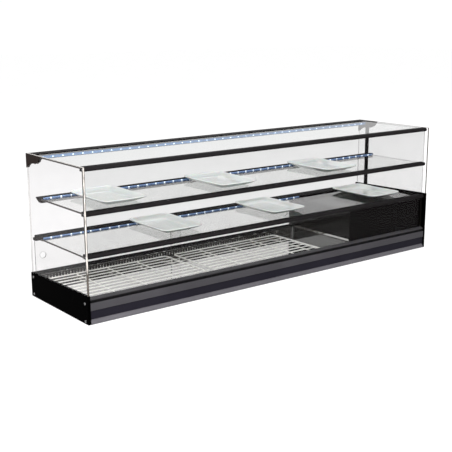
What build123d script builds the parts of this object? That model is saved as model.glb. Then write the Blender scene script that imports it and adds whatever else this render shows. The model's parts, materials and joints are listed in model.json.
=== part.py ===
"""Heated countertop display case with two glass shelves, sliding rear doors and a side compartment.

Millimetres. X runs along the case, -Y is the customer side, Z = 0 is the counter that it stands on.
"""
from build123d import *
import os
from math import cos, pi, radians, sin, tan

os.makedirs("parts", exist_ok=True)

# Driving dimensions of the case.
length = 1600
depth = 400
height = 504
front = -depth / 2
back = depth / 2
end_thick = 10
foot_height = 4
pan_sheet = 1.5
plate_bottom = 2
rail_top = 83
rail_inner_top = 80
pane_seat = 75
rail_depth = 30
rear_rail_top = 87
rear_rail_front = 160
rear_rail_back = 198
tub_floor = 56
tub_rim = 84

# Glass.
side_glass = 7
pane = 5
shelf_glass = 6
side_inset = 1.4
glass_rear_low = 195.5
glass_rear_high = 189.5
glass_inner = length / 2 - side_inset - side_glass

# Level of each glass plate: the middle of its thickness, and the underside of its front bar.
levels = {"lower_shelf": (216.5, 211), "upper_shelf": (356.5, 347), "top": (499, 488.7)}
# Rear profile of each level: front face, underside, and top where the cable duct stands on it.
rear_profiles = {"lower_shelf": (116, 212, 224.5), "upper_shelf": (101, 344.2, 361),
                 "top": (148, 485, height)}
# Cross-section corners (y, z) of each rear profile, and of the wiring channel inside it.
profile_outlines = {
    "lower_shelf": [(116, 212), (116, 224.5), (168, 224.5), (175, 222), (175, 212)],
    "upper_shelf": [(101, 346), (101, 365.3), (117, 365.3), (121, 361), (143, 361), (150, 357.5),
                    (127, 344.2), (112, 344.2)],
    "top": [(148, 485), (148, height), (189.5, height), (189.5, 485)],
}
profile_channels = {
    "lower_shelf": [(132, 214), (132, 221.5), (171, 221.5), (171, 214)],
    "upper_shelf": [(117, 347), (117, 359), (142, 359), (145, 357.4), (127, 347)],
    "top": [(164, 487), (164, 502), (187.5, 502), (187.5, 487)],
}
profile_jaw = 12
bar_front = front + 8
bar_depth = 26
bar_height = 14.5
pane_front = front + 16
glass_seat = bar_front + bar_depth - 9
nose_bore = 3.8

# Equipment compartment at the right end.
compartment_left = 377
panel_thick = 2
lid_sheet = 1.8
rear_sheet = 1.5
compartment_top_z = 209
rear_panel_y = 180
panel_right = length / 2 - end_thick
panel_screw_xs = (compartment_left + 20, panel_right - 20)
panel_screw_z = compartment_top_z - 9

# Controls and cooling, on and behind the rear panel.
switch_x = 450
knob_x = 530
control_z = 150
fan_x = 645
fan_size = 80
fan_thick = 25
gland_x = 745
gland_z = 112
trunnion = 1.5
rocker_tilt = -8
rocker_axis_y = rear_panel_y - 1.5
spindle = 3
running_fit = 0.05
fan_shaft = 2.5

# End screws: radius of the shank and of its port, and their heights in each rail.
screw_shank = 2.4
screw_port = 2.45
screw_heights = {"front": (70, 11), "back": (74, 13)}
screw_columns = {"front": front + 16, "back": 180}
screw_places = [(screw_columns[side], z) for side in screw_columns for z in screw_heights[side]]
screw_head = 2.2

# Rear doors.
door_thick = 4
door_width = 608
door_bottom = rear_rail_top - 5.7
door_top = 208
door_planes = {"door_left": 179, "door_right": 171}
door_start = {"door_left": 0.5 - panel_right, "door_right": compartment_left - 0.5 - door_width}
finger_hole = 22
groove_play = 0.3

# Lift-out pieces.
rack_size = (505, 315)
rack_left_edges = {"rack_left": -775, "rack_right": -236}
rack_wire_z = 66
dish_height = 20
dish_places = {
    "dish_upper_left": ("upper_shelf", -615, -27),
    "dish_upper_middle": ("upper_shelf", -147, -27),
    "dish_upper_right": ("upper_shelf", 365, -20),
    "dish_lower_left": ("lower_shelf", -361, 14),
    "dish_lower_middle": ("lower_shelf", 125, 14),
    "dish_lower_right": ("lower_shelf", 635, -8),
}
lift_gap = 0.3


def finish(piece, label):
    """Name a finished piece and write it."""
    piece.part.label = label
    export_step(piece.part, f"parts/{label}.step")


def slab(label, x_span, y_span, z_span, corner=0.5):
    """A flat piece between two corners, with rounded upright edges."""
    wide, deep, tall = (high - low for low, high in (x_span, y_span, z_span))
    with BuildPart() as piece:
        with BuildSketch(Plane.XY.offset(z_span[0])):
            with Locations((sum(x_span) / 2, sum(y_span) / 2)):
                RectangleRounded(wide, deep, corner)
        extrude(amount=tall)
    finish(piece, label)


# ---------------------------------------------------------------- base

def rubber_feet():
    with BuildPart() as piece:
        with BuildSketch():
            with GridLocations(700, 280, 3, 2):
                Circle(16)
        extrude(amount=foot_height)
        chamfer(piece.faces().sort_by(Axis.Z)[0].edges(), 0.8)
    finish(piece, "rubber_feet")


def base_pan():
    """Folded sheet tray that closes the underside, with air slots under the compartment."""
    flange = 26
    near, far = front + rail_depth, rear_rail_front
    with BuildPart() as piece:
        with BuildSketch(Plane.YZ.offset(-panel_right)):
            with Locations((near, foot_height)):
                Rectangle(far - near, flange, align=Align.MIN)
            with Locations((near + pan_sheet, foot_height + pan_sheet)):
                Rectangle(far - near - 2 * pan_sheet, flange, align=Align.MIN, mode=Mode.SUBTRACT)
        extrude(amount=2 * panel_right)
        with BuildSketch(Plane.XY.offset(foot_height)):
            with Locations((600, 0)):
                with GridLocations(18, 0, 9, 1):
                    SlotOverall(80, 6, rotation=90)
        extrude(amount=pan_sheet, mode=Mode.SUBTRACT)
    finish(piece, "base_pan")


def insulation_pad():
    slab("insulation_pad", (-780, 370), (-160, 150), (foot_height + pan_sheet, 27), 4)


def heating_element():
    """Sheathed element under the tub floor: four long runs joined by half-circle bends."""
    sheath = 8
    bend = 29
    element_z = 44
    near, far = -700, 330
    runs = [-87, -29, 29, 87]
    corners = [(400, runs[0]), (near, runs[0]), (near, runs[1]), (far, runs[1]),
               (far, runs[2]), (near, runs[2]), (near, runs[3]), (400, runs[3])]
    with BuildPart() as piece:
        with BuildLine() as route:
            FilletPolyline(*[(x, y, element_z) for x, y in corners], radius=bend - 0.5)
        with BuildSketch(Plane(origin=route.line @ 0, z_dir=route.line % 0)):
            Circle(sheath / 2)
        sweep()
    finish(piece, "heating_element")


def front_rail():
    """Customer-side base extrusion: toe lip, recessed band, flat band, shadow gap and pane slot."""
    pane_back = pane_front + pane + 0.2
    outline = [
        (front, plate_bottom), (front, 8), (front + 6, 18), (front + 6, 46), (front + 1, 47),
        (front + 0.6, 58), (front + 1, 71), (front + 2, 72), (front + 8, 72), (front + 8, 80),
        (front + 4, 80.5), (front + 4, rail_top), (pane_front, rail_top), (pane_front, pane_seat),
        (pane_back, pane_seat), (pane_back, rail_inner_top), (front + rail_depth, rail_inner_top),
        (front + rail_depth, plate_bottom),
    ]
    with BuildPart() as piece:
        with BuildSketch(Plane.YZ.offset(-panel_right)):
            Polygon(*outline, align=None)
            with Locations((front + 18, 38)):
                RectangleRounded(18, 36, 1.5, mode=Mode.SUBTRACT)
            with Locations(*[(screw_columns["front"], z) for z in screw_heights["front"]]):
                Circle(screw_port, mode=Mode.SUBTRACT)
        extrude(amount=2 * panel_right)
    finish(piece, "front_rail")


def front_rail_insert():
    """Dark strip that fills the recess of the front rail."""
    slab("front_rail_insert", (-panel_right, panel_right), (front + 3.5, front + 6), (18.5, 45.5), 0.3)


def glass_seal():
    """Ribbed seal in front of the lower pane, stepping up towards the glass."""
    ribs = 4
    near = front + 4.5
    first, last = rail_top + 1.5, rail_top + 6
    step_y = (pane_front - near) / ribs
    step_z = (last - first) / ribs
    outline = [(near, rail_top)]
    for rib in range(ribs):
        y = near + rib * step_y
        z = first + rib * step_z
        outline += [(y, z), (y + step_y * 0.65, z + step_z * 0.9)]
    outline += [(pane_front, last), (pane_front, rail_top)]
    with BuildPart() as piece:
        with BuildSketch(Plane.YZ.offset(-panel_right)):
            Polygon(*outline, align=None)
        extrude(amount=2 * panel_right)
    finish(piece, "glass_seal")


def rear_rail():
    """Service-side base extrusion with the two running grooves of the doors."""
    groove_depth = 6
    with BuildPart() as piece:
        with BuildSketch(Plane.YZ.offset(-panel_right)):
            with Locations((rear_rail_front, plate_bottom)):
                Rectangle(rear_rail_back - rear_rail_front, rear_rail_top - plate_bottom, align=Align.MIN)
            with Locations(((rear_rail_front + rear_rail_back) / 2, 40)):
                RectangleRounded(26, 44, 1.5, mode=Mode.SUBTRACT)
            with Locations(*[(screw_columns["back"], z) for z in screw_heights["back"]]):
                Circle(screw_port, mode=Mode.SUBTRACT)
        extrude(amount=2 * panel_right)
        with BuildSketch(Plane.YZ.offset(-panel_right)):
            for plane_y in door_planes.values():
                with Locations((plane_y - groove_play, rear_rail_top - groove_depth)):
                    Rectangle(door_thick + 2 * groove_play, groove_depth, align=Align.MIN)
        extrude(amount=panel_right + compartment_left, mode=Mode.SUBTRACT)
    finish(piece, "rear_rail")


def door_track_upper():
    """Guide under the rear profile of the lower shelf, with the matching two grooves."""
    low = 203
    high = rear_profiles["lower_shelf"][1]
    lip = 2
    near = min(door_planes.values()) - 5
    far = max(door_planes.values()) + door_thick + 4
    with BuildPart() as piece:
        with BuildSketch(Plane.YZ.offset(-glass_inner)):
            with Locations((near, low)):
                Rectangle(far - near, high - low, align=Align.MIN)
            for plane_y in door_planes.values():
                with Locations((plane_y - groove_play, low)):
                    Rectangle(door_thick + 2 * groove_play, high - low - lip, align=Align.MIN,
                              mode=Mode.SUBTRACT)
        extrude(amount=glass_inner + compartment_left)
    finish(piece, "door_track_upper")


def tray_tub():
    """Polished tub of the heated floor, with two long warm-air slots near its rear wall."""
    sheet = 1.2
    side_rim = 94
    left, right = -panel_right, compartment_left + panel_thick
    near, far = front + rail_depth, rear_rail_front
    middle_x, middle_y = (left + right) / 2, (near + far) / 2
    with BuildPart() as piece:
        with BuildSketch(Plane.XY.offset(tub_floor - sheet)):
            with Locations((middle_x, middle_y)):
                Rectangle(right - left, far - near)
        extrude(amount=tub_rim - tub_floor + sheet)
        with BuildSketch(Plane.XY.offset(tub_floor)):
            with Locations((middle_x, middle_y)):
                RectangleRounded(right - left - 2 * sheet, far - near - 2 * sheet, 3)
        extrude(amount=tub_rim - tub_floor, mode=Mode.SUBTRACT)
        with BuildSketch(Plane.XY.offset(tub_rim)):
            with Locations((right - sheet / 2, middle_y)):
                Rectangle(sheet, far - near)
        extrude(amount=side_rim - tub_rim)
        with BuildSketch(Plane.XY.offset(tub_floor - sheet)):
            with Locations(*[(middle_x, far - inset) for inset in (22, 42)]):
                SlotOverall(1080, 6)
        extrude(amount=sheet, mode=Mode.SUBTRACT)
    finish(piece, "tray_tub")


def rear_vent_strip():
    """Slotted strip on the tub's rear wall."""
    low, high = tub_floor + 2, tub_rim - 2
    left, right = 10 - panel_right, compartment_left - 9
    wall_face = rear_rail_front - 1.2
    pitch = 12
    with BuildPart() as piece:
        with BuildSketch(Plane.XZ.offset(-wall_face)):
            with Locations(((left + right) / 2, (low + high) / 2)):
                RectangleRounded(right - left, high - low, 2)
                with GridLocations(pitch, 0, int((right - left) / pitch) - 1, 1):
                    SlotOverall(16, 5, rotation=90, mode=Mode.SUBTRACT)
        extrude(amount=1.2)
    finish(piece, "rear_vent_strip")


# ---------------------------------------------------------------- ends and glass

def end_plate(label, side, front_height, rear_height):
    """Moulded end with a pocket for the side glass. side is -1 on the left and 1 on the right.

    The wall inside the glass stops at the compartment's lid, clear of the shelf and its bar.
    """
    outline = [(front, plate_bottom), (back, plate_bottom), (back, rear_height), (front, front_height)]
    pocket = side_glass + 0.1
    pocket_middle = side * (length / 2 - side_inset - side_glass / 2)
    with BuildPart() as piece:
        with BuildSketch(Plane.YZ.offset(side * length / 2)):
            Polygon(*outline, align=None)
        extrude(amount=-side * end_thick)
        outer_edges = piece.faces().sort_by(Axis.X)[0 if side < 0 else -1].edges()
        fillet(outer_edges, 1)
        with BuildSketch(Plane.YZ.offset(pocket_middle - pocket / 2)):
            with Locations((0, 30)):
                Rectangle(depth - 2 * 2.3, height, align=(Align.CENTER, Align.MIN))
        extrude(amount=pocket, mode=Mode.SUBTRACT)
        with BuildSketch(Plane.YZ.offset(side * panel_right)):
            with Locations((0, compartment_top_z)):
                Rectangle(depth - 2 * 2.3, height, align=(Align.CENTER, Align.MIN))
        extrude(amount=side * 2, mode=Mode.SUBTRACT)
        with BuildSketch(Plane.YZ.offset(side * length / 2)):
            with Locations(*screw_places):
                Circle(screw_port)
        extrude(amount=-side * end_thick, mode=Mode.SUBTRACT)
    finish(piece, label)


def end_plate_screws():
    """Eight pan-head screws that hold the ends to the two base rails."""
    with BuildPart() as piece:
        for side in (-1, 1):
            with BuildSketch(Plane.YZ.offset(side * length / 2)):
                with Locations(*screw_places):
                    Circle(4.6)
            extrude(amount=side * screw_head)
            with BuildSketch(Plane.YZ.offset(side * length / 2)):
                with Locations(*screw_places):
                    Circle(screw_shank)
            extrude(amount=-side * 30)
        heads = piece.faces().filter_by(Axis.X).group_by(Axis.X)
        fillet([edge for group in (heads[0], heads[-1]) for face in group for edge in face.edges()], 1)
        for side in (-1, 1):
            with BuildSketch(Plane.YZ.offset(side * (length / 2 + screw_head))):
                with Locations(*screw_places):
                    RegularPolygon(1.6, 6)
            extrude(amount=-side * 1.4, mode=Mode.SUBTRACT)
    finish(piece, "end_plate_screws")


def side_glass_pane(label, side):
    """Full-height side glass whose rear edge leans a little forward to the top."""
    edge = depth / 2 - 2.5
    outline = [(-edge, 30), (edge, 30), (edge, 80), (glass_rear_low, rear_rail_top),
               (glass_rear_high, height), (-edge, height)]
    with BuildPart() as piece:
        with BuildSketch(Plane.YZ.offset(side * (length / 2 - side_inset))):
            Polygon(*outline, align=None)
            with Locations(*[(screw_columns[end], screw_heights[end][0]) for end in screw_columns]):
                Circle(4, mode=Mode.SUBTRACT)
        extrude(amount=-side * side_glass)
        rim = piece.faces().filter_by(Axis.X)
        chamfer([face.outer_wire().edges().sort_by(Axis.Z)[-1] for face in rim], 0.8)
    finish(piece, label)


def front_panes():
    """Three upright panes of the customer side, between the bars and down to the rail."""
    bars = [levels[name][1] for name in ("lower_shelf", "upper_shelf", "top")]
    bottoms = [pane_seat, bars[0] + bar_height - 2.3, bars[1] + bar_height - 2.3]
    ends = [panel_right - 0.3, glass_inner - 0.3, glass_inner - 0.3]
    names = ["front_glass_lower", "front_glass_middle", "front_glass_upper"]
    for name, end, bottom, bar in zip(names, ends, bottoms, bars):
        slab(name, (-end, end), (pane_front, pane_front + pane), (bottom, bar + 2.3), 0.4)


def shelf_plates():
    """The two shelves and the roof, each held by a front bar and a rear profile."""
    names = {"lower_shelf": "lower_shelf_glass", "upper_shelf": "upper_shelf_glass", "top": "top_glass"}
    for level, name in names.items():
        middle = levels[level][0]
        rear_edge = rear_profiles[level][0] + profile_jaw
        slab(name, (0.3 - glass_inner, glass_inner - 0.3), (glass_seat, rear_edge),
             (middle - shelf_glass / 2, middle + shelf_glass / 2), 2)


def front_bar(label, level):
    """Round-nosed bar: hollow nose, a groove for each pane, and a jaw for the glass plate."""
    middle, low = levels[level]
    centre = low + bar_height / 2
    nose = bar_height / 2
    pane_slot = pane + 0.2
    with BuildPart() as piece:
        with BuildSketch(Plane.YZ.offset(-glass_inner)):
            with Locations((bar_front + nose, centre)):
                Circle(nose)
            with Locations((bar_front + nose, low)):
                Rectangle(bar_depth - nose, bar_height, align=Align.MIN)
            with Locations((bar_front + nose, centre)):
                Circle(nose_bore, mode=Mode.SUBTRACT)
            with Locations((glass_seat, middle)):
                Rectangle(10, shelf_glass + 0.2, align=(Align.MIN, Align.CENTER), mode=Mode.SUBTRACT)
            slots = [low + 1.15] if level == "top" else [low + 1.15, low + bar_height - 1.15]
            with Locations(*[(pane_front + pane / 2, z) for z in slots]):
                Rectangle(pane_slot, 2.5, mode=Mode.SUBTRACT)
        extrude(amount=2 * glass_inner)
    finish(piece, label)


def rear_profile(label, level):
    """Hollow rear extrusion of a level: a jaw for the glass in front and a wiring channel behind."""
    cap = 2
    with BuildPart() as piece:
        with BuildSketch(Plane.YZ.offset(cap - glass_inner)):
            Polygon(*profile_outlines[level], align=None)
            Polygon(*profile_channels[level], align=None, mode=Mode.SUBTRACT)
            with Locations((rear_profiles[level][0], levels[level][0])):
                Rectangle(2 * profile_jaw + 0.2, shelf_glass + 0.2, mode=Mode.SUBTRACT)
        extrude(amount=2 * (glass_inner - cap))
    finish(piece, label)


def profile_end_caps():
    """Moulded caps that close the rear profiles of the two shelves."""
    with BuildPart() as piece:
        for level in ("lower_shelf", "upper_shelf"):
            for start in (-glass_inner, glass_inner - 2):
                with BuildSketch(Plane.YZ.offset(start)):
                    Polygon(*profile_outlines[level], align=None)
                    with Locations((rear_profiles[level][0], levels[level][0])):
                        Rectangle(2 * profile_jaw + 1, shelf_glass + 0.2, mode=Mode.SUBTRACT)
                extrude(amount=2)
    finish(piece, "profile_end_caps")


def bar_end_pins():
    """Bright pins in the hollow noses of the front bars, bonded to the side glasses."""
    noses = [(bar_front + bar_height / 2, low + bar_height / 2) for _, low in levels.values()]
    with BuildPart() as piece:
        for side in (-1, 1):
            with BuildSketch(Plane.YZ.offset(side * glass_inner)):
                with Locations(*noses):
                    Circle(nose_bore - running_fit)
            extrude(amount=-side * 24)
    finish(piece, "bar_end_pins")


def corner_brackets():
    """Moulded clips over the rear top corners, which join the roof profile to both side glasses."""
    rear = glass_rear_high + 2.3
    low = 455
    near = 88
    glass_cut = 2 * (rear_profiles["top"][0] + profile_jaw + 0.5 - near)
    outline = [(near, height), (rear, height), (rear, low), (187, low + 2), (176, 467), (163, 471),
               (137, 475.5), (122, 475), (104, 483), (92, 495)]
    wall = side_inset - 0.1
    with BuildPart() as piece:
        for side in (-1, 1):
            with BuildSketch(Plane.YZ.offset(side * length / 2)):
                Polygon(*outline, align=None)
            extrude(amount=-side * wall)
            with BuildSketch(Plane.YZ.offset(side * glass_inner)):
                Polygon(*outline, align=None)
                with Locations((near, levels["top"][0])):
                    Rectangle(glass_cut, shelf_glass + 0.4, mode=Mode.SUBTRACT)
            extrude(amount=-side * 2)
            with BuildSketch(Plane.YZ.offset(side * length / 2)):
                with Locations((glass_rear_high + 1, low)):
                    Rectangle(1.3, height - low, align=Align.MIN)
            extrude(amount=-side * (length / 2 - glass_inner + 2))
    finish(piece, "corner_brackets")


def led_strip(label, level, low, tall, right_end):
    """Light strip on the front face of a rear profile: a board with a row of chips."""
    board = 1.2
    pitch = 38
    near = rear_profiles[level][0]
    left_end = 4 - glass_inner
    span = right_end - left_end
    with BuildPart() as piece:
        with BuildSketch(Plane.XZ.offset(-near)):
            with Locations(((left_end + right_end) / 2, low + tall / 2)):
                Rectangle(span, tall)
        extrude(amount=board)
        with BuildSketch(Plane.XZ.offset(board - near)):
            with Locations(((left_end + right_end) / 2, low + tall / 2)):
                with GridLocations(pitch, 0, int(span / pitch), 1):
                    Rectangle(5, 3.2)
        extrude(amount=0.8)
    finish(piece, label)


def cable_duct():
    """Square duct at the right rear that carries the lighting leads from level to level."""
    size = 12
    roof_glass_low = levels["top"][0] - shelf_glass / 2 - 0.1
    with BuildPart() as piece:
        with BuildSketch(Plane.XY.offset(rear_profiles["lower_shelf"][2])):
            with Locations((glass_inner - 9.5, 130)):
                RectangleRounded(size, size, 1)
                RectangleRounded(size - 3, size - 3, 0.5, mode=Mode.SUBTRACT)
        extrude(amount=roof_glass_low - rear_profiles["lower_shelf"][2])
        with BuildSketch(Plane.YZ.offset(glass_inner)):
            Polygon(*profile_outlines["upper_shelf"], align=None)
        extrude(amount=-2 * size, mode=Mode.SUBTRACT)
    finish(piece, "cable_duct")


# ---------------------------------------------------------------- doors, racks and dishes

def door(label):
    """Clear sliding door with a finger hole near its outer edge."""
    left = door_start[label]
    hole_x = left + 29 if label == "door_left" else left + door_width - 29
    with BuildPart() as piece:
        with BuildSketch(Plane.XZ.offset(-door_planes[label])):
            with Locations((left, door_bottom)):
                Rectangle(door_width, door_top - door_bottom, align=Align.MIN)
            with Locations((hole_x, 146)):
                Circle(finger_hole / 2, mode=Mode.SUBTRACT)
        extrude(amount=-door_thick)
        chamfer(piece.edges().filter_by(GeomType.CIRCLE), 0.6)
        fillet(piece.edges().filter_by(Axis.Y), 2)
    finish(piece, label)


def wire_rack(label):
    """Coated wire rack: a border, ten bays of long wires, cross wires below them, and four feet."""
    border, wire, foot = 2.5, 1.6, 2
    wide, deep = rack_size
    left = rack_left_edges[label]
    near = -163
    right, far = left + wide, near + deep
    bays = 10
    cross_z = rack_wire_z - wire - 1.6
    long_ys = [near + deep * bay / bays for bay in range(1, bays)]
    cross_xs = [left + wide * part for part in (0.25, 0.5, 0.75)]
    with BuildPart() as piece:
        with BuildSketch(Plane.XY.offset(rack_wire_z), mode=Mode.PRIVATE) as area:
            with Locations(((left + right) / 2, (near + far) / 2)):
                RectangleRounded(wide, deep, 14)
        loop = area.sketch.face().outer_wire()
        with BuildSketch(Plane(origin=loop @ 0, z_dir=loop % 0)):
            Circle(border)
        sweep(path=loop)
        with BuildSketch(Plane.YZ.offset(left)):
            with Locations(*[(y, rack_wire_z) for y in long_ys]):
                Circle(wire)
        extrude(amount=wide)
        with BuildSketch(Plane.XZ.offset(-near)):
            with Locations(*[(x, cross_z) for x in cross_xs]):
                Circle(wire + 0.2)
        extrude(amount=-deep)
        with BuildSketch(Plane.XY.offset(tub_floor + lift_gap)):
            with Locations(*[(x, y) for x in (left, right) for y in (near + 40, far - 40)]):
                Circle(foot)
        extrude(amount=rack_wire_z + 1 - tub_floor - lift_gap)
    finish(piece, label)


def dish(label, level, x, y):
    """Shallow flared dish with a flat well, made from an outer and an inner loft."""
    base = levels[level][0] + shelf_glass / 2 + lift_gap
    wall = 3.5
    sections = [(0, 112, 180, 14), (5, 122, 192, 17), (dish_height, 170, 250, 22)]
    with BuildPart() as piece:
        for rise, wide, deep, corner in sections:
            with BuildSketch(Plane.XY.offset(base + rise)):
                with Locations((x, y)):
                    RectangleRounded(wide, deep, corner)
        loft(ruled=True)
        for rise, wide, deep, corner in sections:
            with BuildSketch(Plane.XY.offset(base + rise + (wall if rise < dish_height else 0.01))):
                with Locations((x, y)):
                    RectangleRounded(wide - 2 * wall, deep - 2 * wall, corner - wall)
        loft(ruled=True, mode=Mode.SUBTRACT)
    finish(piece, label)


# ---------------------------------------------------------------- equipment compartment

def compartment_side_panel():
    slab("compartment_side_panel", (compartment_left, compartment_left + panel_thick),
         (front + 26, rear_panel_y), (94, compartment_top_z), 0.4)


def compartment_front_panel():
    slab("compartment_front_panel", (compartment_left, panel_right), (front + 24, front + 26),
         (rail_inner_top, compartment_top_z + lid_sheet), 0.4)


def compartment_top():
    """Lid of the compartment under the shelf glass, with a flange that takes the rear panel."""
    flange, flange_sheet = 18, 1.5
    with BuildPart() as piece:
        with BuildSketch(Plane.YZ.offset(compartment_left)):
            with Locations((front + 26, compartment_top_z)):
                Rectangle(rear_panel_y - front - 26, lid_sheet, align=Align.MIN)
        extrude(amount=panel_right - compartment_left)
        with BuildSketch(Plane.YZ.offset(compartment_left + panel_thick)):
            with Locations((rear_panel_y - flange_sheet, compartment_top_z - flange)):
                Rectangle(flange_sheet, flange, align=Align.MIN)
        extrude(amount=panel_right - compartment_left - panel_thick)
        with BuildSketch(Plane.XZ.offset(-rear_panel_y)):
            with Locations(*[(x, panel_screw_z) for x in panel_screw_xs]):
                Circle(screw_port - 0.5)
        extrude(amount=flange_sheet, mode=Mode.SUBTRACT)
    finish(piece, "compartment_top")


def compartment_rear_panel():
    """Service panel with a foot on the rear rail, holes for the controls, and air slots."""
    with BuildPart() as piece:
        with BuildSketch(Plane.YZ.offset(compartment_left)):
            with Locations((rear_panel_y, rear_rail_top)):
                Rectangle(rear_sheet, compartment_top_z + lid_sheet - rear_rail_top, align=Align.MIN)
                Rectangle(13, rear_sheet, align=Align.MIN)
        extrude(amount=panel_right - compartment_left)
        with BuildSketch(Plane.XZ.offset(-rear_panel_y - rear_sheet)):
            with Locations((switch_x, control_z)):
                Rectangle(20.2, 28.2)
            with Locations((knob_x, control_z)):
                Circle(5)
            with Locations((gland_x, gland_z)):
                Circle(8.1)
            with Locations((fan_x, control_z)):
                with GridLocations(9, 0, 7, 1):
                    SlotOverall(60, 4.5, rotation=90)
            with Locations(*[(x, panel_screw_z) for x in panel_screw_xs]):
                Circle(screw_port - 0.5)
        extrude(amount=rear_sheet, mode=Mode.SUBTRACT)
    finish(piece, "compartment_rear_panel")


def rear_panel_screws():
    """Two cross-head screws into the lid's flange."""
    face = rear_panel_y + rear_sheet
    head = 1.8
    places = [(x, panel_screw_z) for x in panel_screw_xs]
    with BuildPart() as piece:
        with BuildSketch(Plane.XZ.offset(-face)):
            with Locations(*places):
                Circle(3.6)
        extrude(amount=-head)
        with BuildSketch(Plane.XZ.offset(-face)):
            with Locations(*places):
                Circle(screw_port - 0.55)
        extrude(amount=9)
        with BuildSketch(Plane.XZ.offset(-face - head)):
            with Locations(*places):
                Rectangle(0.9, 5)
                Rectangle(5, 0.9)
        extrude(amount=head / 2, mode=Mode.SUBTRACT)
    finish(piece, "rear_panel_screws")


def thermostat_body():
    """Capillary thermostat behind the panel, with the bore of its spindle."""
    with BuildPart() as piece:
        with BuildSketch(Plane.XZ.offset(-rear_panel_y)):
            with Locations((knob_x, control_z)):
                RectangleRounded(34, 30, 3)
        extrude(amount=24)
        with BuildSketch(Plane.XZ.offset(-rear_panel_y)):
            with Locations((knob_x, control_z)):
                Circle(4.9)
        extrude(amount=-3)
        with BuildSketch(Plane.XZ.offset(-rear_panel_y - 3)):
            with Locations((knob_x, control_z)):
                Circle(spindle + running_fit)
        extrude(amount=18, mode=Mode.SUBTRACT)
    finish(piece, "thermostat_body")


def thermostat_spindle():
    with BuildPart() as piece:
        with BuildSketch(Plane.XZ.offset(14 - rear_panel_y)):
            with Locations((knob_x, control_z)):
                Circle(spindle)
        extrude(amount=-28)
    finish(piece, "thermostat_spindle")


def thermostat_knob():
    """Fluted knob pressed on the spindle, with a raised pointer."""
    start = rear_panel_y + 3.6
    radius = 18
    with BuildPart() as piece:
        with BuildSketch(Plane.XZ.offset(-start)):
            with Locations((knob_x, control_z)):
                Circle(radius)
                with PolarLocations(radius + 1.5, 16):
                    Circle(2.6, mode=Mode.SUBTRACT)
        extrude(amount=-13)
        with BuildSketch(Plane.XZ.offset(-start - 13)):
            with Locations((knob_x, control_z)):
                Circle(radius - 3)
        extrude(amount=-1)
        with BuildSketch(Plane.XZ.offset(-start - 14)):
            with Locations((knob_x, control_z + 7)):
                Rectangle(2.4, 12)
        extrude(amount=-1.2)
        with BuildSketch(Plane.XZ.offset(-start)):
            with Locations((knob_x, control_z)):
                Circle(spindle)
        extrude(amount=-10.4, mode=Mode.SUBTRACT)
    finish(piece, "thermostat_knob")


def power_switch_body():
    """Snap-in switch housing: bezel, box, rocker well and the two trunnion sockets."""
    face = rear_panel_y + rear_sheet
    half_pin = 8.6
    with BuildPart() as piece:
        with BuildSketch(Plane.XZ.offset(-face)):
            with Locations((switch_x, control_z)):
                RectangleRounded(24, 32, 1.5)
        extrude(amount=-1.8)
        with BuildSketch(Plane.XZ.offset(-face)):
            with Locations((switch_x, control_z)):
                Rectangle(20, 28)
        extrude(amount=22)
        with BuildSketch(Plane.XZ.offset(-face - 1.8)):
            with Locations((switch_x, control_z)):
                Rectangle(14, 24)
        extrude(amount=12, mode=Mode.SUBTRACT)
        with BuildSketch(Plane.YZ.offset(switch_x - half_pin)):
            with Locations((rocker_axis_y, control_z)):
                Circle(trunnion + running_fit)
        extrude(amount=2 * half_pin, mode=Mode.SUBTRACT)
    finish(piece, "power_switch_body")


def power_switch_rocker():
    """Rocker on two trunnions, tipped to its off position: two flats that meet in a shallow V."""
    tip = 11
    nose = 6.6
    valley = nose - tip * tan(radians(10))
    outline = [(-4, -6), (3.2, -tip), (nose, -tip), (valley, 0), (nose, tip), (3.2, tip), (-4, 6)]
    pivot = Vector(switch_x - 6.6, rocker_axis_y, control_z)
    tipped = (0, cos(radians(rocker_tilt)), sin(radians(rocker_tilt)))
    with BuildPart() as piece:
        with BuildSketch(Plane(origin=pivot, x_dir=tipped, z_dir=(1, 0, 0))):
            Polygon(*outline, align=None)
        extrude(amount=13.2)
        with BuildSketch(Plane(origin=pivot - Vector(1.6, 0, 0), x_dir=tipped, z_dir=(1, 0, 0))):
            Circle(trunnion)
        extrude(amount=16.4)
    finish(piece, "power_switch_rocker")


def led_driver():
    slab("led_driver", (480, 640), (-70, -20), (foot_height + pan_sheet, 38), 3)


def terminal_block():
    """Five-way terminal block with a screw well over each way."""
    base, tall = foot_height + pan_sheet, 20
    with BuildPart() as piece:
        with BuildSketch(Plane.XY.offset(base)):
            with Locations((710, -30)):
                RectangleRounded(60, 24, 1)
        extrude(amount=tall)
        with BuildSketch(Plane.XY.offset(base + tall)):
            with Locations((710, -30)):
                with GridLocations(11, 12, 5, 2):
                    Circle(2.6)
        extrude(amount=-9, mode=Mode.SUBTRACT)
    finish(piece, "terminal_block")


def fan_frame():
    """Square fan frame on the panel, with a spider that carries the motor bearing."""
    centre = (fan_x, control_z)
    with BuildPart() as piece:
        with BuildSketch(Plane.XZ.offset(-rear_panel_y)):
            with Locations(centre):
                RectangleRounded(fan_size, fan_size, 5)
                Circle(fan_size / 2 - 2, mode=Mode.SUBTRACT)
        extrude(amount=fan_thick)
        with BuildSketch(Plane.XZ.offset(fan_thick - 4 - rear_panel_y)):
            with Locations(centre):
                Circle(16)
                with PolarLocations(27, 4, start_angle=45):
                    Rectangle(26, 6)
        extrude(amount=4)
        with BuildSketch(Plane.XZ.offset(fan_thick - rear_panel_y)):
            with Locations(centre):
                Circle(fan_shaft + running_fit)
        extrude(amount=-4, mode=Mode.SUBTRACT)
    finish(piece, "fan_frame")


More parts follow.
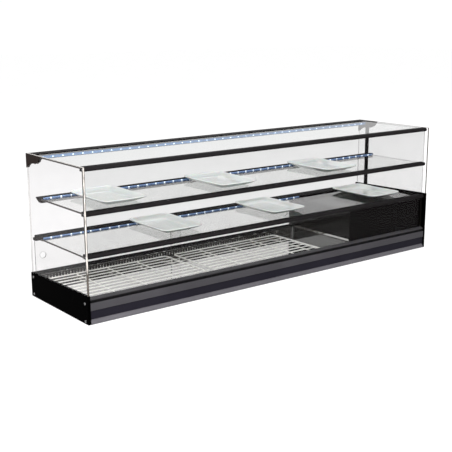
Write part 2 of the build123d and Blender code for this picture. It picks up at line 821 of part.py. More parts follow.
def fan_rotor():
    """Fan hub with seven pitched blades and its shaft."""
    centre = Vector(fan_x, rear_panel_y - 11, control_z)
    pitch = radians(35)
    with BuildPart() as piece:
        with BuildSketch(Plane.XZ.offset(3 - rear_panel_y)):
            with Locations((fan_x, control_z)):
                Circle(15)
        extrude(amount=16)
        with BuildSketch(Plane.XZ.offset(19 - rear_panel_y)):
            with Locations((fan_x, control_z)):
                Circle(fan_shaft)
        extrude(amount=5)
        for blade in range(7):
            turn = 2 * pi * blade / 7
            outward = Vector(cos(turn), 0, sin(turn))
            along = Vector(0, 1, 0) * cos(pitch) + Vector(-sin(turn), 0, cos(turn)) * sin(pitch)
            with BuildSketch(Plane(origin=centre + outward * 13, x_dir=along, z_dir=outward)):
                Rectangle(15, 1.6)
            extrude(amount=22)
    finish(piece, "fan_rotor")


def cable_gland():
    """Gland of the supply lead: hexagonal nut outside the panel and a threaded body through it."""
    face = rear_panel_y + rear_sheet
    with BuildPart() as piece:
        with BuildSketch(Plane.XZ.offset(-face)):
            with Locations((gland_x, gland_z)):
                RegularPolygon(11, 6)
        extrude(amount=-7)
        with BuildSketch(Plane.XZ.offset(-face - 7)):
            with Locations((gland_x, gland_z)):
                Circle(8.5)
        extrude(amount=-5)
        with BuildSketch(Plane.XZ.offset(-face)):
            with Locations((gland_x, gland_z)):
                Circle(8)
        extrude(amount=14)
        with BuildSketch(Plane.XZ.offset(-face - 12)):
            with Locations((gland_x, gland_z)):
                Circle(4)
        extrude(amount=26, mode=Mode.SUBTRACT)
    finish(piece, "cable_gland")


# ---------------------------------------------------------------- build

rubber_feet()
base_pan()
insulation_pad()
heating_element()
front_rail()
front_rail_insert()
glass_seal()
rear_rail()
door_track_upper()
tray_tub()
rear_vent_strip()
end_plate("end_plate_left", -1, 96.6, 86.7)
end_plate("end_plate_right", 1, 231.6, 222.6)
end_plate_screws()
side_glass_pane("side_glass_left", -1)
side_glass_pane("side_glass_right", 1)
front_panes()
shelf_plates()
for level in levels:
    front_bar(f"{level}_front_bar", level)
    rear_profile(f"{level}_rear_profile", level)
profile_end_caps()
bar_end_pins()
corner_brackets()
shelf_light = 4
above_glass = shelf_glass / 2 + 0.3
led_strip("top_led_strip", "top", 487, 8.7, glass_inner - 4)
led_strip("upper_shelf_led_strip", "upper_shelf", levels["upper_shelf"][0] + above_glass, shelf_light,
          glass_inner - 4)
led_strip("lower_shelf_led_strip", "lower_shelf", levels["lower_shelf"][0] + above_glass, shelf_light,
          compartment_left - 5)
cable_duct()
for name in door_planes:
    door(name)
for name in rack_left_edges:
    wire_rack(name)
for name, place in dish_places.items():
    dish(name, *place)
compartment_side_panel()
compartment_front_panel()
compartment_top()
compartment_rear_panel()
rear_panel_screws()
thermostat_body()
thermostat_spindle()
thermostat_knob()
power_switch_body()
power_switch_rocker()
led_driver()
terminal_block()
fan_frame()
fan_rotor()
cable_gland()
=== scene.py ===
"""Looks of the countertop display case, in metres, in the frame of its CAD model."""
import json
from math import cos, pi, radians, sin

import bmesh
import bpy
from mathutils import Matrix, Vector, noise

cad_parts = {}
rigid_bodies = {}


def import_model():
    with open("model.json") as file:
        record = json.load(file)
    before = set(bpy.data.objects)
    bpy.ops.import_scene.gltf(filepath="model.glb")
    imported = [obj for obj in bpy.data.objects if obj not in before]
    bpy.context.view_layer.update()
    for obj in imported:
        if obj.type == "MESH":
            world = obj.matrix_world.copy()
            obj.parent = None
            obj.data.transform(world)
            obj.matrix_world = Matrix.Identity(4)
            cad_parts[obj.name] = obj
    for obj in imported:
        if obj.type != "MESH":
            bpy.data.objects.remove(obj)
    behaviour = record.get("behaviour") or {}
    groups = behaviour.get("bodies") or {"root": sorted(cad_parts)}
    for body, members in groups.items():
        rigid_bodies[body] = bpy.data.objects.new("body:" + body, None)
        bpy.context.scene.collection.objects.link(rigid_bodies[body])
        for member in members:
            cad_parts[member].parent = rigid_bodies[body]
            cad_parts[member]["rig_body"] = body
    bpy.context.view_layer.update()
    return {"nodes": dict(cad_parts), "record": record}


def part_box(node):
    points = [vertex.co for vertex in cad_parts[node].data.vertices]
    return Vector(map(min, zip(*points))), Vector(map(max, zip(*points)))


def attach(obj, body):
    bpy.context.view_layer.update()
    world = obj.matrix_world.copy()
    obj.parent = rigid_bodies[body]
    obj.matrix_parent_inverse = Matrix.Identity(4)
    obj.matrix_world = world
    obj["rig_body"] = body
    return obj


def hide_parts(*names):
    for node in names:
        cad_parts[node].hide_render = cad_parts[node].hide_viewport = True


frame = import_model()
nodes = frame["nodes"]
slot_of = {part["node"]: part["material_slot"] for part in frame["record"]["subparts"]}
mm = 0.001
chip_pitch = 38 * mm
# Distance of the side glasses' inner and outer faces from the middle of the case.
edge_span = sorted(abs(corner.x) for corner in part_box("side_glass_left"))


# ---------------------------------------------------------------- shader building

def start_material(name):
    """A new node material, its tree and its Principled shader."""
    made = bpy.data.materials.new(name)
    made.use_nodes = True
    return made, made.node_tree, made.node_tree.nodes["Principled BSDF"]


def put(tree, kind, sockets=None, **settings):
    """Add a node: settings are its properties, sockets its input values or links."""
    node = tree.nodes.new("ShaderNode" + kind)
    for key, value in settings.items():
        setattr(node, key, value)
    for key, value in (sockets or {}).items():
        if isinstance(value, bpy.types.NodeSocket):
            tree.links.new(value, node.inputs[key])
        else:
            node.inputs[key].default_value = value
    return node


def object_place(tree, stretch=(1, 1, 1)):
    """Place on the piece in metres, with each axis stretched for streaks."""
    where = put(tree, "TexCoord").outputs["Object"]
    return put(tree, "Mapping", {"Vector": where, "Scale": stretch}).outputs["Vector"]


def grain(tree, scale, stretch=(1, 1, 1), detail=4, roughness=0.5):
    """Noise value over the piece. scale is in features per metre."""
    sockets = {"Vector": object_place(tree, stretch), "Scale": scale, "Detail": detail,
               "Roughness": roughness}
    return put(tree, "TexNoise", sockets).outputs["Fac"]


def ramp(tree, value, *stops, crisp=False):
    """Colours over a value: each stop is a place and a grey level or a colour. Crisp stops don't blend."""
    node = put(tree, "ValToRGB", {"Fac": value})
    node.color_ramp.interpolation = "CONSTANT" if crisp else "LINEAR"
    bar = node.color_ramp.elements
    while len(bar) < len(stops):
        bar.new(0.5)
    for element, (place, colour) in zip(bar, stops):
        element.position = place
        shade = (colour,) * 3 if isinstance(colour, (int, float)) else tuple(colour)
        element.color = (*shade, 1)
    return node.outputs["Color"]


def math(tree, operation, *values):
    """Output of a math node on values or links."""
    return put(tree, "Math", dict(enumerate(values)), operation=operation).outputs["Value"]


def place_on(tree, axis):
    """Coordinate along one axis, in metres."""
    return put(tree, "SeparateXYZ", {"Vector": put(tree, "TexCoord").outputs["Object"]}).outputs[axis]


def normal_along(tree, axis):
    """Part of the true surface normal along one axis."""
    normal = put(tree, "NewGeometry").outputs["True Normal"]
    return put(tree, "SeparateXYZ", {"Vector": normal}).outputs[axis]


def share_between(tree, value, low, high):
    """0 to 1 as the value goes from low to high."""
    return put(tree, "MapRange", {"Value": value, "From Min": low, "From Max": high}).outputs["Result"]


def blend_colours(tree, factor, first, second, blend_type="MIX"):
    """Mix of two colour outputs or plain colours."""
    node = put(tree, "Mix", data_type="RGBA", blend_type=blend_type)
    for key, value in ((0, factor), (6, first), (7, second)):
        if isinstance(value, bpy.types.NodeSocket):
            tree.links.new(value, node.inputs[key])
        else:
            node.inputs[key].default_value = value if key == 0 else (*value, 1)
    return node.outputs[2]


def bump(tree, height, distance, strength=1.0, normal=None):
    """Surface normal bent by a height, on top of another normal if one is given."""
    sockets = {"Height": height, "Distance": distance, "Strength": strength}
    if normal is not None:
        sockets["Normal"] = normal
    return put(tree, "Bump", sockets).outputs["Normal"]


def connect(tree, shader, **links):
    """Link outputs to the shader's sockets, named with underscores for spaces."""
    for key, value in links.items():
        tree.links.new(value, shader.inputs[key.replace("_", " ")])


def settle(shader, **values):
    """Set the shader's own socket values."""
    for key, value in values.items():
        colour = isinstance(value, tuple) and len(value) == 3
        shader.inputs[key.replace("_", " ")].default_value = (*value, 1) if colour else value


# ---------------------------------------------------------------- materials

def gloss_black(name, tone, specular):
    """Lacquered black sheet: faint orange peel, dust and fine wipe marks."""
    made, tree, shader = start_material(name)
    peel = grain(tree, 900, detail=2)
    wipes = grain(tree, 60, (1, 6, 1), detail=8, roughness=0.7)
    dust = grain(tree, 2600, detail=1)
    connect(tree, shader,
            Base_Color=ramp(tree, dust, (0.70, tone), (0.86, [shade * 1.4 + 0.0006 for shade in tone])),
            Roughness=ramp(tree, wipes, (0.35, 0.07), (0.75, 0.16)),
            Normal=bump(tree, peel, 0.00004, 0.25))
    settle(shader, Specular_IOR_Level=specular)
    return made


def extruded_metal(name, tone, rough, specular, line_axis=0, steps=()):
    """Anodised extrusion: fine die lines along it, slight tone drift and rubbed patches.

    steps are (height in mm, share of the tone) that paint bands of light and shade: from each height up, the
    tone is multiplied by its share.
    """
    made, tree, shader = start_material(name)
    along = [90, 90, 90]
    along[line_axis] = 1.2
    lines = grain(tree, 22, along, detail=6, roughness=0.65)
    drift = grain(tree, 7, detail=3)
    rubbed = grain(tree, 45, detail=5, roughness=0.6)
    base = ramp(tree, drift, (0.3, [shade * 0.86 for shade in tone]),
                (0.7, [min(1, shade * 1.14) for shade in tone]))
    lined = blend_colours(tree, math(tree, "MULTIPLY", lines, 0.35), base, [min(1, s * 1.5) for s in tone])
    if steps:
        height = share_between(tree, place_on(tree, "Z"), 0, 100 * mm)
        shares = ramp(tree, height, *[(level / 100, share / 4) for level, share in steps], crisp=True)
        fourfold = blend_colours(tree, 1.0, shares, (4, 4, 4), "MULTIPLY")
        lined = blend_colours(tree, 1.0, lined, fourfold, "MULTIPLY")
    connect(tree, shader, Base_Color=lined,
            Roughness=ramp(tree, rubbed, (0.35, rough - 0.07), (0.7, rough + 0.08)),
            Normal=bump(tree, lines, 0.00005, 0.3))
    settle(shader, Specular_IOR_Level=specular)
    return made


def powder_coat(name, tone, rough=0.45):
    """Textured powder coat: small orange-peel domes and a slight speckle."""
    made, tree, shader = start_material(name)
    domes = put(tree, "TexVoronoi", {"Vector": object_place(tree), "Scale": 1400}).outputs["Distance"]
    speck = grain(tree, 1800, detail=2)
    handled = grain(tree, 14, detail=5)
    connect(tree, shader,
            Base_Color=ramp(tree, speck, (0.35, [s * 0.8 for s in tone]),
                            (0.75, [min(1, s * 1.35) for s in tone])),
            Roughness=ramp(tree, handled, (0.3, rough - 0.08), (0.7, rough + 0.1)),
            Normal=bump(tree, domes, 0.00008, 0.35))
    settle(shader, Specular_IOR_Level=0.35)
    return made


def moulding(name, tone, rough=0.42, specular=0.4):
    """Moulded plastic or rubber with a fine spark-eroded grain."""
    made, tree, shader = start_material(name)
    leather = put(tree, "TexVoronoi", {"Vector": object_place(tree), "Scale": 2200}).outputs["Distance"]
    patches = grain(tree, 30, detail=4)
    connect(tree, shader,
            Base_Color=ramp(tree, patches, (0.3, [s * 0.85 for s in tone]),
                            (0.75, [min(1, s * 1.2) for s in tone])),
            Roughness=ramp(tree, patches, (0.3, rough - 0.05), (0.7, rough + 0.08)),
            Normal=bump(tree, leather, 0.00006, 0.4))
    settle(shader, Specular_IOR_Level=specular)
    return made


def polished_steel(name, tone, rough):
    """Mirror-finished stainless: faint polishing lines, smudges and a slight ripple."""
    made, tree, shader = start_material(name)
    lines = grain(tree, 30, (1, 60, 60), detail=8, roughness=0.7)
    smudge = grain(tree, 18, detail=6, roughness=0.62)
    ripple = grain(tree, 9, detail=2)
    polish = ramp(tree, smudge, (0.32, [s * 0.93 for s in tone]), (0.68, tone))
    # Painted shade: the tub's end wall by the compartment is darkened up to just under its top edge.
    facing = normal_along(tree, "X")
    low_on_wall = math(tree, "LESS_THAN", place_on(tree, "Z"), 86 * mm)
    painted_wall_shade = math(tree, "MULTIPLY", math(tree, "LESS_THAN", facing, -0.9), low_on_wall)
    connect(tree, shader,
            Base_Color=blend_colours(tree, painted_wall_shade, polish, [s * 0.3 for s in tone]),
            Roughness=ramp(tree, smudge, (0.35, rough), (0.72, rough + 0.03)),
            Normal=bump(tree, ripple, 0.0001, 0.08, bump(tree, lines, 0.00002, 0.1)))
    settle(shader, Metallic=1.0)
    return made


def brushed_steel(name, tone, rough, axis=0):
    """Brushed stainless with long grain along one axis."""
    made, tree, shader = start_material(name)
    along = [160, 160, 160]
    along[axis] = 1.5
    brush = grain(tree, 18, along, detail=8, roughness=0.7)
    clouds = grain(tree, 11, detail=4)
    connect(tree, shader,
            Base_Color=ramp(tree, brush, (0.3, [s * 0.8 for s in tone]),
                            (0.7, [min(1, s * 1.1) for s in tone])),
            Roughness=ramp(tree, clouds, (0.3, rough - 0.06), (0.7, rough + 0.08)),
            Normal=bump(tree, brush, 0.00006, 0.4))
    settle(shader, Metallic=1.0, Anisotropic=0.4)
    return made


def clear_pane(name, face_axis, tint, index, edge_tone, edge_bands=(), edge_rough=0.14):
    """Clear sheet: see-through faces with a Fresnel mirror, and polished edges of a solid tone.

    face_axis is the axis that the sheet's two big faces look along. edge_bands are (share of the
    thickness from the inner face, tone) stops of painted light and shade across an edge.
    """
    made, tree, shader = start_material(name)
    output = tree.nodes["Material Output"]
    smears = grain(tree, 12, detail=7, roughness=0.6)
    wiped = ramp(tree, smears, (0.42, tint), (0.78, [t * 0.985 for t in tint]))
    through = put(tree, "BsdfTransparent", {"Color": wiped})
    haze = ramp(tree, smears, (0.4, 0.0), (0.8, 0.06))
    mirror = put(tree, "BsdfGlossy", {"Color": (1, 1, 1, 1), "Roughness": haze})
    # One mirror for each sheet: the face that a ray leaves by only lets it through.
    geometry = put(tree, "NewGeometry").outputs
    entering = math(tree, "SUBTRACT", 1.0, geometry["Backfacing"])
    share = math(tree, "MULTIPLY", put(tree, "Fresnel", {"IOR": index}).outputs["Fac"], entering)
    sheet = put(tree, "MixShader", {0: share, 1: through.outputs[0], 2: mirror.outputs[0]})
    # The cut edges: ground and polished, with streaks along their length that are partly grinding marks and
    # partly painted highlights breaking up the edge.
    streaks = grain(tree, 90, (1, 1, 0.35), detail=6)
    tone = ramp(tree, streaks, (0.36, [t * 0.45 for t in edge_tone]), (0.60, edge_tone))
    if edge_bands:
        from_middle = math(tree, "ABSOLUTE", place_on(tree, "XYZ".index(face_axis)))
        depth_in = share_between(tree, from_middle, *edge_span)
        bands = ramp(tree, depth_in, *edge_bands)
        # Painted shade: low on the sheet, below about 0.17 m, the edge bands give way to a dark tone.
        upper = share_between(tree, place_on(tree, "Z"), 0.165, 0.175)
        banded = blend_colours(tree, upper, (0.12, 0.11, 0.10), bands)
        tone = blend_colours(tree, 1.0, tone, banded, "MULTIPLY")
    connect(tree, shader, Base_Color=tone)
    settle(shader, Roughness=edge_rough, Specular_IOR_Level=0.3)
    # An edge seen from within the sheet is only a faint line.
    glimpse = math(tree, "MULTIPLY_ADD", geometry["Backfacing"], -0.72, 1.0)
    edge = put(tree, "MixShader", {0: glimpse, 1: through.outputs[0], 2: shader.outputs[0]})
    facing = put(tree, "SeparateXYZ", {"Vector": geometry["True Normal"]})
    off_face = math(tree, "LESS_THAN", math(tree, "ABSOLUTE", facing.outputs[face_axis]), 0.9)
    whole = put(tree, "MixShader", {0: off_face, 1: sheet.outputs[0], 2: edge.outputs[0]})
    tree.links.new(whole.outputs[0], output.inputs["Surface"])
    return made


def light_strip(node):
    """Blue board with lit chips that stand in front of it; the spill of their light along the board is
    painted on as a glow.
    """
    made, tree, shader = start_material(node)
    low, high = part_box(node)
    # Painted shade: the top strip's board and glow are darkened to a deeper blue, against the white sky that
    # the roof glass mirrors over it.
    painted_shade_share = (0.12, 0.55, 0.8) if node == "top_led_strip" else (1, 1, 1)
    chips = int((high.x - low.x) / chip_pitch)
    first = (low.x + high.x - (chips - 1) * chip_pitch) / 2
    chip = math(tree, "LESS_THAN", place_on(tree, "Y"), low.y + 0.7 * mm)
    turn = math(tree, "MULTIPLY", math(tree, "SUBTRACT", place_on(tree, "X"), first), 2 * pi / chip_pitch)
    spill = math(tree, "MULTIPLY_ADD", math(tree, "COSINE", turn), 0.5, 0.5)
    film = grain(tree, 300, detail=4)
    board = ramp(tree, film, (0.35, [c * d for c, d in zip((0.14, 0.22, 0.40), painted_shade_share)]),
                 (0.65, [c * d for c, d in zip((0.20, 0.29, 0.48), painted_shade_share)]))
    # Painted light: the board glows blue between the chips, brightest next to each chip.
    halo = ramp(tree, spill, (0.2, [c * d for c, d in zip((0.06, 0.12, 0.26), painted_shade_share)]),
                (0.95, [c * d for c, d in zip((0.24, 0.38, 0.62), painted_shade_share)]))
    connect(tree, shader, Base_Color=blend_colours(tree, chip, board, (0.9, 0.93, 1.0)),
            Emission_Color=blend_colours(tree, chip, halo, (0.82, 0.92, 1.0)),
            Emission_Strength=math(tree, "MULTIPLY_ADD", chip, 0.9, 0.4))
    settle(shader, Roughness=0.4)
    return made


def dipped_coating(name):
    """Thick ivory plastic dip on the racks: soft gloss, slight runs and tone changes."""
    made, tree, shader = start_material(name)
    runs = grain(tree, 70, (1, 1, 3), detail=4)
    tone = grain(tree, 9, detail=3)
    connect(tree, shader,
            Base_Color=ramp(tree, tone, (0.3, (0.96, 0.95, 0.90)), (0.7, (1, 0.995, 0.965))),
            Roughness=ramp(tree, runs, (0.35, 0.24), (0.7, 0.38)),
            Normal=bump(tree, runs, 0.0004, 0.3))
    settle(shader, Specular_IOR_Level=0.5, Coat_Weight=0.25, Coat_Roughness=0.1)
    return made


def dish_glaze(name):
    """Pale green-white glaze, slightly greyer in the well, with a painted highlight that whitens the rim and
    painted shade that turns the underside grey-green.
    """
    made, tree, shader = start_material(name)
    pool = grain(tree, 26, detail=5)
    specks = grain(tree, 900, detail=2)
    share_up = put(tree, "SeparateXYZ", {"Vector": put(tree, "TexCoord").outputs["Generated"]}).outputs["Z"]
    # Painted highlight: the glaze turns white at the top of the rim, and is darker lower down.
    rim_highlight_by_height = ramp(tree, share_up, (0.2, (0.81, 0.83, 0.82)), (0.8, (0.88, 0.895, 0.885)),
                     (0.93, (1, 1, 1)))
    pooled = ramp(tree, pool, (0.3, (0.87, 0.89, 0.88)), (0.72, (0.91, 0.92, 0.915)))
    # Painted shade: faces that look down turn a dark grey-green.
    upward = normal_along(tree, "Z")
    top_side = share_between(tree, upward, -0.25, 0.05)
    underside_shaded = blend_colours(tree, top_side, (0.40, 0.45, 0.42), rim_highlight_by_height)
    body = blend_colours(tree, 1.0, underside_shaded, pooled, "MULTIPLY")
    speckled = blend_colours(tree, math(tree, "GREATER_THAN", specks, 0.73), body, (0.78, 0.82, 0.80))
    connect(tree, shader, Base_Color=speckled,
            Roughness=ramp(tree, pool, (0.3, 0.16), (0.7, 0.26)),
            Normal=bump(tree, pool, 0.0006, 0.15))
    settle(shader, Specular_IOR_Level=0.5, Subsurface_Weight=0.12, Subsurface_Scale=0.006,
           Coat_Weight=0.4, Coat_Roughness=0.08)
    return made


def mineral_wool(name):
    """Clumped yellow-brown fibres."""
    made, tree, shader = start_material(name)
    fibre = grain(tree, 260, (1, 4, 1), detail=10, roughness=0.75)
    clumps = grain(tree, 24, detail=5)
    tone = ramp(tree, fibre, (0.3, (0.42, 0.34, 0.16)), (0.7, (0.82, 0.74, 0.50)))
    clumped = blend_colours(tree, math(tree, "MULTIPLY", clumps, 0.6), tone, (0.70, 0.66, 0.52))
    connect(tree, shader, Base_Color=clumped,
            Normal=bump(tree, fibre, 0.002, 0.8))
    settle(shader, Roughness=0.95, Specular_IOR_Level=0.1, Sheen_Weight=0.3, Sheen_Roughness=0.5)
    return made


def turned_metal(name, tone):
    """Bright screw metal with fine rings from turning and plating variation."""
    made, tree, shader = start_material(name)
    plating = grain(tree, 400, detail=4)
    connect(tree, shader,
            Base_Color=ramp(tree, plating, (0.3, [s * 0.85 for s in tone]), (0.7, tone)),
            Roughness=ramp(tree, plating, (0.3, 0.14), (0.7, 0.28)),
            Normal=bump(tree, plating, 0.00005, 0.3))
    settle(shader, Metallic=1.0)
    return made


def plain_plastic(name, tone, rough):
    """Smooth moulded plastic with faint flow lines."""
    made, tree, shader = start_material(name)
    flow = grain(tree, 60, (1, 1, 5), detail=5)
    connect(tree, shader,
            Base_Color=ramp(tree, flow, (0.3, [s * 0.9 for s in tone]),
                            (0.7, [min(1, s * 1.08) for s in tone])),
            Roughness=ramp(tree, flow, (0.3, rough), (0.7, rough + 0.1)),
            Normal=bump(tree, flow, 0.0002, 0.2))
    settle(shader, Specular_IOR_Level=0.5)
    return made


# Painted light and shade across the side glass's edges: dark at the inner face, light in the middle, darker
# at the outer face.
glass_edge_light_shade = ((0, 0.05), (0.22, 0.08), (0.34, 1.0), (0.74, 0.9), (0.84, 0.25), (1, 0.25))
# Painted light and shade in bands up the front rail: the bottom lip, which faces up, is lightened, the band
# above it is darkened, and the gap under the seal is near-black.
rail_light_shade_steps = ((0, 2.1), (18, 0.3), (46, 1.0), (71.6, 0.12), (80.2, 0.7))
finishes = {
    "feet_rubber": moulding("feet_rubber", (0.02, 0.02, 0.02), 0.7, 0.25),
    "base_steel": powder_coat("base_steel", (0.10, 0.10, 0.105)),
    "insulation_wool": mineral_wool("insulation_wool"),
    "element_sheath": brushed_steel("element_sheath", (0.30, 0.28, 0.26), 0.42),
    "rail_grey": extruded_metal("rail_grey", (0.034, 0.0325, 0.036), 0.42, 0.03, steps=rail_light_shade_steps),
    "rail_insert_dark": extruded_metal("rail_insert_dark", (0.0085, 0.0078, 0.0115), 0.5, 0.02),
    "seal_rubber": moulding("seal_rubber", (0.030, 0.029, 0.031), 0.35, 0.2),
    "black_anodised": extruded_metal("black_anodised", (0.0090, 0.0082, 0.0086), 0.4, 0.003),
    "black_moulding": moulding("black_moulding", (0.0125, 0.0075, 0.006), 0.38, 0.02),
    "polished_steel": polished_steel("polished_steel", (0.84, 0.84, 0.83), 0.01),
    "slotted_steel": brushed_steel("slotted_steel", (0.065, 0.060, 0.057), 0.4),
    "end_gloss": gloss_black("end_gloss", (0.0004, 0.0004, 0.0004), 0.001),
    "bright_screw": turned_metal("bright_screw", (0.82, 0.82, 0.82)),
    "dull_screw": turned_metal("dull_screw", (0.16, 0.16, 0.16)),
    "side_glass": clear_pane("side_glass", "X", (0.895, 0.890, 0.892), 1.15, (0.62, 0.58, 0.54), glass_edge_light_shade),
    "right_glass": clear_pane("right_glass", "X", (0.985, 0.983, 0.984), 1.15, (0.10, 0.09, 0.085)),
    "pane_glass": clear_pane("pane_glass", "Y", (0.826, 0.826, 0.826), 1.12, (0.05, 0.045, 0.04)),
    "shelf_glass": clear_pane("shelf_glass", "Z", (0.955, 0.957, 0.952), 1.8, (0.06, 0.05, 0.045)),
    "roof_glass": clear_pane("roof_glass", "Z", (0.838, 0.842, 0.840), 1.12, (0.06, 0.05, 0.045)),
    "door_acrylic": clear_pane("door_acrylic", "Y", (0.965, 0.963, 0.963), 1.15, (0.12, 0.115, 0.11)),
    "rack_coating": dipped_coating("rack_coating"),
    "dish_glaze": dish_glaze("dish_glaze"),
    "compartment_gloss": gloss_black("compartment_gloss", (0.0022, 0.0016, 0.0017), 0.004),
    "lid_gloss": gloss_black("lid_gloss", (0.006, 0.0045, 0.0047), 0.15),
    "mirror_gloss": gloss_black("mirror_gloss", (0.0035, 0.0024, 0.0022), 0.35),
    "panel_black": powder_coat("panel_black", (0.020, 0.020, 0.020)),
    "rocker_red": plain_plastic("rocker_red", (0.42, 0.02, 0.015), 0.18),
    "driver_case": brushed_steel("driver_case", (0.62, 0.62, 0.62), 0.35),
    "terminal_ivory": plain_plastic("terminal_ivory", (0.74, 0.70, 0.58), 0.35),
}
# Nodes whose finish differs from the rest of their slot.
special = {
    "side_glass_right": "right_glass", "end_plate_screws": "dull_screw",
    "compartment_top": "lid_gloss", "compartment_side_panel": "mirror_gloss",
    "lower_shelf_glass": "shelf_glass", "upper_shelf_glass": "shelf_glass", "top_glass": "roof_glass",
}

for name, node in nodes.items():
    wanted = special.get(name, slot_of[name])
    finish_of_node = light_strip(name) if wanted == "light_strip" else finishes[wanted]
    for holder in node.material_slots:
        holder.material = finish_of_node


# ---------------------------------------------------------------- pieces built as meshes

def add_piece(name, mesh, body, slot, replaced=()):
    """Put a mesh into the scene as a piece on a body."""
    piece = bpy.data.objects.new(name, mesh)
    bpy.context.scene.collection.objects.link(piece)
    mesh.materials.append(finishes[slot])
    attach(piece, body)
    if replaced:
        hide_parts(*replaced)
    return piece


def apply_modifiers(piece):
    """Turn a piece's modifiers into its mesh."""
    graph = bpy.context.evaluated_depsgraph_get()
    applied = bpy.data.meshes.new_from_object(piece.evaluated_get(graph))
    piece.modifiers.clear()
    piece.data = applied


def dish_ring(wide, deep, corner, height, bow, lift):
    """Closed loop of a dish: its sides bow inwards and dip between the raised corners."""
    side_steps, corner_steps = 10, 5
    half_x, half_y = wide / 2 - corner, deep / 2 - corner
    centres = [(half_x, half_y), (-half_x, half_y), (-half_x, -half_y), (half_x, -half_y)]
    points = []
    for quarter, (cx, cy) in enumerate(centres):
        for step in range(corner_steps + 1):
            turn = (quarter + step / corner_steps) * pi / 2
            points.append(Vector((cx + corner * cos(turn), cy + corner * sin(turn), height + lift)))
        next_x, next_y = centres[(quarter + 1) % 4]
        turn = (quarter + 1) * pi / 2
        outward = Vector((cos(turn), sin(turn), 0))
        start = points[-1]
        end = Vector((next_x, next_y, height + lift)) + outward * corner
        for step in range(1, side_steps):
            dip = sin(pi * step / side_steps) ** 2
            spot = start.lerp(end, step / side_steps) - outward * bow * dip
            points.append(spot - Vector((0, 0, lift * dip)))
    return points


def dish_mesh(name, low, high):
    """Glazed platter between two corners: foot ring, flared wall, thick rolled rim and a flat well."""
    middle = (low + high) / 2
    wide, deep, tall = high - low
    lift, bow = tall * 0.05, wide * 0.006
    foot_x, foot_y = 0.66, 0.72
    # Each ring: its shares of the width and depth, corner radius, height, and its share of the rim's
    # bow and lift.
    rings = [
        (foot_x * 0.90, foot_y * 0.93, 13, 1.2, 0), (foot_x * 0.93, foot_y * 0.96, 14, 0, 0),
        (foot_x, foot_y, 15, 0, 0), (foot_x * 1.03, foot_y * 1.02, 16, 2.0, 0),
        (0.82, 0.85, 20, 6.4, 0.2), (0.94, 0.95, 24, 12.0, 0.7), (0.988, 0.99, 26, 13.6, 1),
        (1, 1, 26, 14.6, 1), (1, 1, 26, 18.0, 1), (0.985, 0.987, 25, 18.8, 1),
        (0.955, 0.960, 23, 17.6, 1), (0.88, 0.90, 20, 11.6, 0.6), (0.76, 0.80, 17, 6.4, 0.2),
        (foot_x * 1.04, foot_y * 1.03, 15, 4.4, 0), (foot_x * 0.97, foot_y * 0.98, 14, 4.0, 0),
        (foot_x * 0.80, foot_y * 0.86, 12, 4.0, 0), (foot_x * 0.45, foot_y * 0.60, 10, 4.0, 0),
    ]
    made = bmesh.new()
    loops = []
    for share_x, share_y, corner, rise, share in rings:
        loop = dish_ring(wide * share_x, deep * share_y, corner * mm, low.z + rise * mm,
                         bow * share, lift * share)
        loops.append([made.verts.new(point + Vector((middle.x, middle.y, 0))) for point in loop])
    for inner, outer in zip(loops, loops[1:]):
        for place, vertex in enumerate(inner):
            following = (place + 1) % len(inner)
            made.faces.new((vertex, outer[place], outer[following], inner[following]))
    for loop in (loops[0], loops[-1]):
        hub = made.verts.new(sum((v.co for v in loop), Vector()) / len(loop))
        for place, vertex in enumerate(loop):
            made.faces.new((hub, vertex, loop[(place + 1) % len(loop)]))
    bmesh.ops.recalc_face_normals(made, faces=made.faces)
    mesh = bpy.data.meshes.new(name)
    made.to_mesh(mesh)
    made.free()
    mesh.shade_smooth()
    return mesh


def dishes():
    """The six glazed dishes, in place of their plain CAD solids."""
    for tier in ("upper", "lower"):
        for side in ("left", "middle", "right"):
            node = f"dish_{tier}_{side}"
            low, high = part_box(node)
            mesh = dish_mesh(node, low, high)
            piece = add_piece(f"glazed_{node}", mesh, nodes[node]["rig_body"], "dish_glaze", [node])
            smooth = piece.modifiers.new("smooth", "SUBSURF")
            smooth.levels = smooth.render_levels = 1
            apply_modifiers(piece)


def insulation():
    """Mineral wool slab with a lumpy top and soft edges, under the tub."""
    low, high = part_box("insulation_pad")
    made = bmesh.new()
    bmesh.ops.create_cube(made, size=1)
    for vertex in made.verts:
        share = vertex.co + Vector((0.5, 0.5, 0.5))
        vertex.co = Vector(low[axis] + (high[axis] - low[axis]) * share[axis] for axis in range(3))
    long_edges = [edge for edge in made.edges if edge.calc_length() > 0.2]
    across = [edge for edge in long_edges if abs(edge.verts[0].co.y - edge.verts[1].co.y) > 0.01]
    along = [edge for edge in long_edges if edge not in across]
    bmesh.ops.subdivide_edges(made, edges=along, cuts=60, use_grid_fill=True)
    across = [edge for edge in made.edges if abs(edge.verts[0].co.y - edge.verts[1].co.y) > 0.2]
    bmesh.ops.subdivide_edges(made, edges=across, cuts=16, use_grid_fill=True)
    middle = (low + high) / 2
    for vertex in made.verts:
        lump = noise.noise(vertex.co * 24) + 0.5 * noise.noise(vertex.co * 90)
        inwards = (middle - vertex.co).normalized()
        vertex.co += inwards * (0.9 + lump * 0.5) * 1.4 * mm
    mesh = bpy.data.meshes.new("insulation")
    made.to_mesh(mesh)
    made.free()
    mesh.shade_smooth()
    pad = add_piece("mineral_wool_pad", mesh, "case", "insulation_wool", ["insulation_pad"])


dishes()
insulation()


# ---------------------------------------------------------------- stage, light and camera

def floor():
    """Plain white floor that glows a little, so that it stays white in the shade."""
    made, tree, shader = start_material("studio_floor")
    settle(shader, Roughness=0.9, Specular_IOR_Level=0.0, Emission_Color=(1, 1, 1), Emission_Strength=0.68)
    connect(tree, shader, Base_Color=ramp(tree, grain(tree, 3), (0.3, 0.35), (0.7, 0.37)))
    bpy.ops.mesh.primitive_plane_add(size=40)
    plane = bpy.context.object
    plane.name = "studio_floor"
    plane.data.materials.append(made)


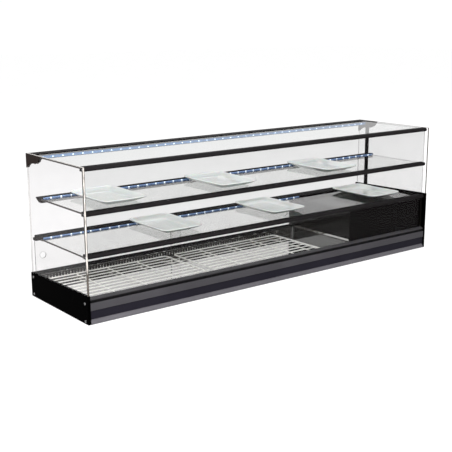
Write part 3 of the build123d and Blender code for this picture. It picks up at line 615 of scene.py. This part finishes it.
def studio():
    """Bright surround that is darker on the camera's side, so that black parts stay black."""
    world = bpy.data.worlds.new("studio")
    bpy.context.scene.world = world
    world.use_nodes = True
    tree = world.node_tree
    direction = put(tree, "SeparateXYZ", {"Vector": put(tree, "TexCoord").outputs["Generated"]})
    ahead = math(tree, "MULTIPLY_ADD", direction.outputs["Y"], 0.5, 0.5)
    colour = ramp(tree, ahead, (0.08, 0.45), (0.42, 0.90), (0.6, 1.0))
    backdrop = tree.nodes["Background"]
    tree.links.new(colour, backdrop.inputs["Color"])
    backdrop.inputs["Strength"].default_value = 1.03


def soft_light(name, place, target, size, power):
    lamp = bpy.data.lights.new(name, "AREA")
    lamp.shape = "RECTANGLE"
    lamp.size, lamp.size_y = size
    lamp.energy = power
    holder = bpy.data.objects.new(name, lamp)
    holder.location = place
    holder.rotation_euler = (Vector(target) - Vector(place)).to_track_quat("-Z", "Y").to_euler()
    bpy.context.scene.collection.objects.link(holder)


def camera():
    azimuth, elevation, roll = radians(37.61), radians(13.15), radians(-0.19)
    ahead = Vector((sin(azimuth) * cos(elevation), cos(azimuth) * cos(elevation), -sin(elevation)))
    turn = ahead.to_track_quat("-Z", "Y").to_matrix() @ Matrix.Rotation(roll, 3, "Z")
    lens = bpy.data.cameras.new("camera")
    lens.sensor_width = 36
    lens.lens = 71.14
    holder = bpy.data.objects.new("camera", lens)
    holder.matrix_world = Matrix.Translation((-2.084, -2.577, 0.9456)) @ turn.to_4x4()
    bpy.context.scene.collection.objects.link(holder)
    bpy.context.scene.camera = holder


floor()
studio()
soft_light("key", (-1.2, -0.8, 2.6), (0, 0, 0.2), (2.4, 1.6), 50)
soft_light("fill", (-1.4, -2.6, 1.5), (0.1, 0, 0.08), (1.8, 1.0), 135)
# Lights up the floor behind the case's right end.
soft_light("pool", (4.2, 1.0, 2.2), (3.6, 1.2, 0), (1.2, 1.2), 35)
soft_light("rim", (1.6, 1.8, 2.2), (0, 0, 0.3), (2.6, 1.0), 16)
camera()
bpy.context.scene.cycles.transparent_max_bounces = 40
bpy.context.scene.cycles.max_bounces = 16
bpy.context.scene.view_settings.view_transform = "Standard"
